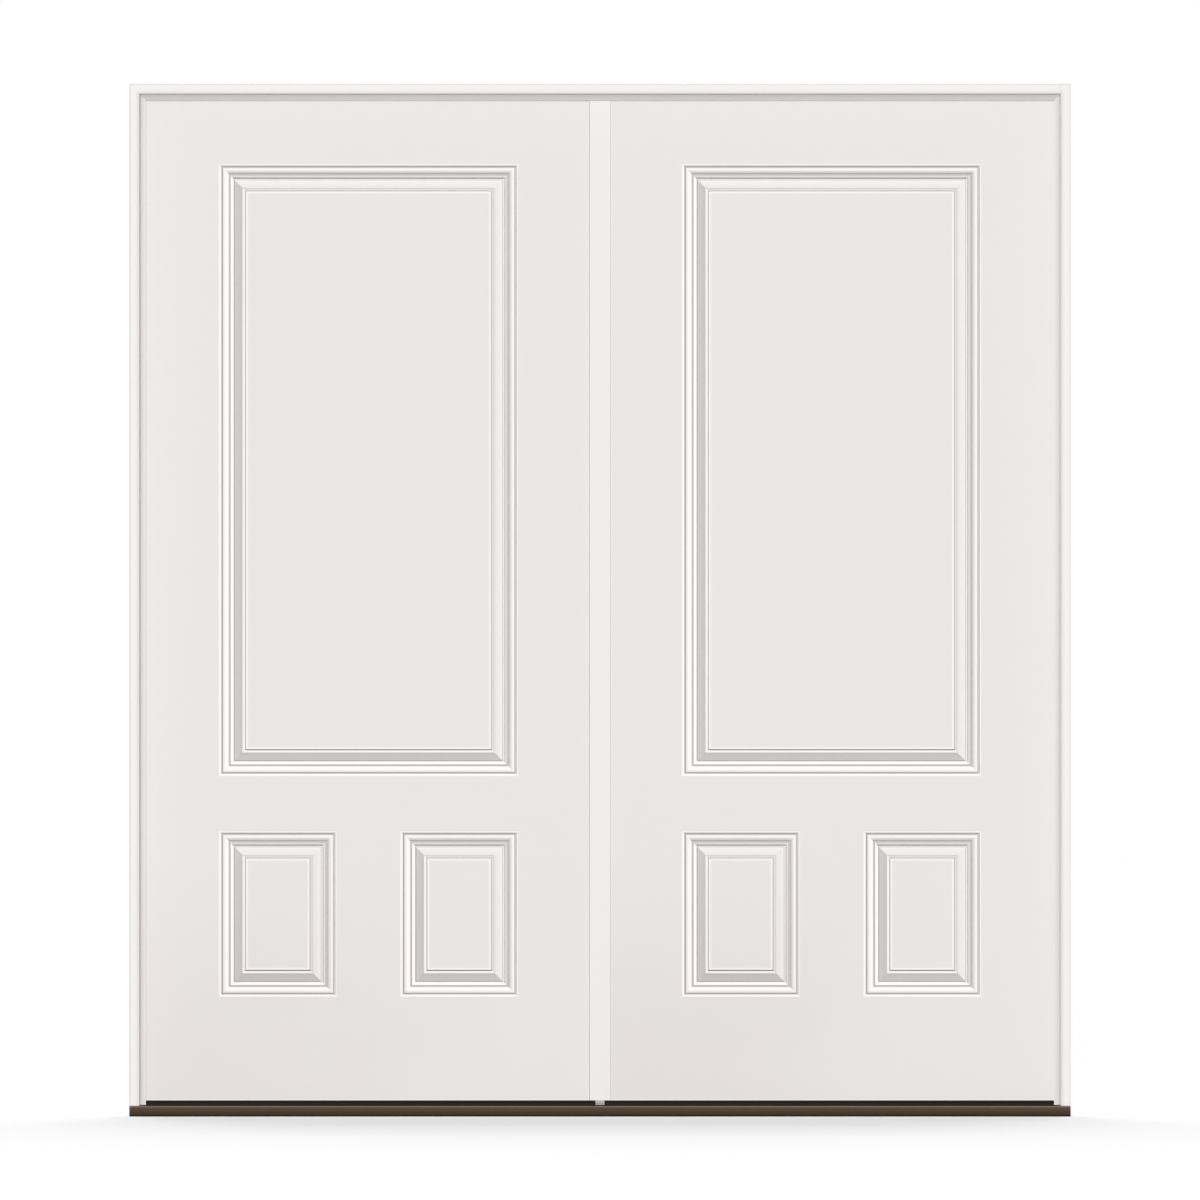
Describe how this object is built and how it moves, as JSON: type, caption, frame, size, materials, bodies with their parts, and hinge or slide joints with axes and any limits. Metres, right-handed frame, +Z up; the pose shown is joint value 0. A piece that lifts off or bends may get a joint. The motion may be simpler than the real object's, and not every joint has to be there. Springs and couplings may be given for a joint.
{
  "type": "double entry door",
  "caption": "Inward-opening double entry door in its frame: moulded panel leaves, astragal with flush bolts, weatherstripped jambs and a metal sill.",
  "frame": {"origin": "on the floor under the sill, at the middle of the opening, in the plane of the jambs' outer edges", "axes": "+X to the right seen from outside, +Y into the house, +Z up"},
  "size_m": [1.8928, 0.1565, 2.0765],
  "materials": {
    "leaf_skin": "smooth moulded skin, painted white, low sheen",
    "frame_paint": "wood, painted white, satin",
    "astragal_white": "extruded, powder-coated white, satin",
    "stile_wood": "bare laminated wood",
    "rail_composite": "plain composite",
    "foam": "rigid foam",
    "sill_bronze": "bronze anodised, satin",
    "sill_substrate": "plain composite",
    "cap_brown": "dark extruded composite, matt",
    "seal_dark": "flexible extrusion, matt",
    "seal_white": "flexible sleeve over foam, matt",
    "pad_grey": "soft pad, matt",
    "hinge_steel": "satin plated steel",
    "screw_steel": "satin plated steel",
    "bolt_steel": "satin steel",
    "guide_plastic": "moulded, matt"
  },
  "bodies": {
    "frame": {"corner_pads": "pad_grey", "frame_hinge_screws": "screw_steel", "frame_screws": "screw_steel", "head_jamb": "frame_paint", "head_strike": "bolt_steel", "head_weatherstrip": "seal_white", "left_hinge_frame_leaf_bottom": "hinge_steel", "left_hinge_frame_leaf_middle": "hinge_steel", "left_hinge_frame_leaf_top": "hinge_steel", "left_hinge_pins": "hinge_steel", "left_jamb": "frame_paint", "left_weatherstrip": "seal_white", "right_hinge_frame_leaf_bottom": "hinge_steel", "right_hinge_frame_leaf_middle": "hinge_steel", "right_hinge_frame_leaf_top": "hinge_steel", "right_hinge_pins": "hinge_steel", "right_jamb": "frame_paint", "right_weatherstrip": "seal_white", "sill_core": "sill_substrate", "sill_deck": "sill_bronze", "sill_pad": "pad_grey", "sill_strike": "bolt_steel", "threshold_cap": "cap_brown", "threshold_screws": "screw_steel"},
    "active_leaf": {"active_bottom_rail": "rail_composite", "active_core": "foam", "active_hinge_screws": "screw_steel", "active_hinge_stile": "stile_wood", "active_inner_skin": "leaf_skin", "active_lock_block": "stile_wood", "active_lock_stile": "stile_wood", "active_outer_skin": "leaf_skin", "active_sweep": "seal_dark", "active_top_rail": "rail_composite", "right_hinge_door_leaf_bottom": "hinge_steel", "right_hinge_door_leaf_middle": "hinge_steel", "right_hinge_door_leaf_top": "hinge_steel"},
    "passive_leaf": {"astragal_body": "astragal_white", "astragal_foot": "pad_grey", "astragal_screws": "screw_steel", "astragal_seal": "seal_white", "bolt_guides": "guide_plastic", "left_hinge_door_leaf_bottom": "hinge_steel", "left_hinge_door_leaf_middle": "hinge_steel", "left_hinge_door_leaf_top": "hinge_steel", "passive_bottom_rail": "rail_composite", "passive_core": "foam", "passive_hinge_screws": "screw_steel", "passive_hinge_stile": "stile_wood", "passive_inner_skin": "leaf_skin", "passive_lock_block": "stile_wood", "passive_lock_stile": "stile_wood", "passive_outer_skin": "leaf_skin", "passive_sweep": "seal_dark", "passive_top_rail": "rail_composite"},
    "top_flush_bolt": {"top_bolt": "bolt_steel"},
    "bottom_flush_bolt": {"bottom_bolt": "bolt_steel"}
  },
  "joints": [
    {"name": "active_leaf_hinge", "type": "hinge", "parent": "frame", "child": "active_leaf", "pos_m": [0.9249, 0.12315, 1], "axis": [0, 0, -1], "range_deg": [0, 170]},
    {"name": "passive_leaf_hinge", "type": "hinge", "parent": "frame", "child": "passive_leaf", "pos_m": [-0.9249, 0.12315, 1], "axis": [0, 0, 1], "range_deg": [0, 153]},
    {"name": "top_bolt_slide", "type": "slide", "parent": "passive_leaf", "child": "top_flush_bolt", "axis": [0, 0, 1], "range_m": [0, 0.016]},
    {"name": "bottom_bolt_slide", "type": "slide", "parent": "passive_leaf", "child": "bottom_flush_bolt", "axis": [0, 0, -1], "range_m": [0, 0.016]}
  ],
  "couplings": [
    {"joint": "passive_leaf_hinge", "follows": "active_leaf_hinge", "ratio": 0.9}
  ]
}
